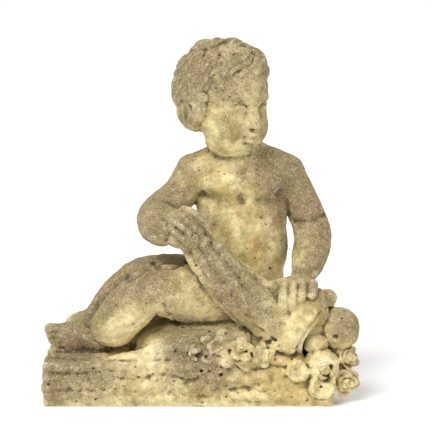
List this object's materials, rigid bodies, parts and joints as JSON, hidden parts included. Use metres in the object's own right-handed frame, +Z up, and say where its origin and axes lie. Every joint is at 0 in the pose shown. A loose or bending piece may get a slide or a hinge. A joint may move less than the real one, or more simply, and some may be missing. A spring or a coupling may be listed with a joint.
{
  "type": "putto statue",
  "caption": "Weathered stone garden statue of a seated child holding a horn of plenty with fruit and roses, on a low oblong plinth.",
  "frame": {"origin": "centre of the plinth's flat underside", "axes": "+Z up, -Y the way the child's chest faces, +X to the viewer's right along the plinth, where the horn's mouth is"},
  "size_m": [0.4925, 0.2383, 0.5603],
  "materials": {
    "weathered_stone": "weathered, pitted and patchily lichened"
  },
  "bodies": {
    "root": {"putto_statue": "weathered_stone"}
  },
  "joints": []
}
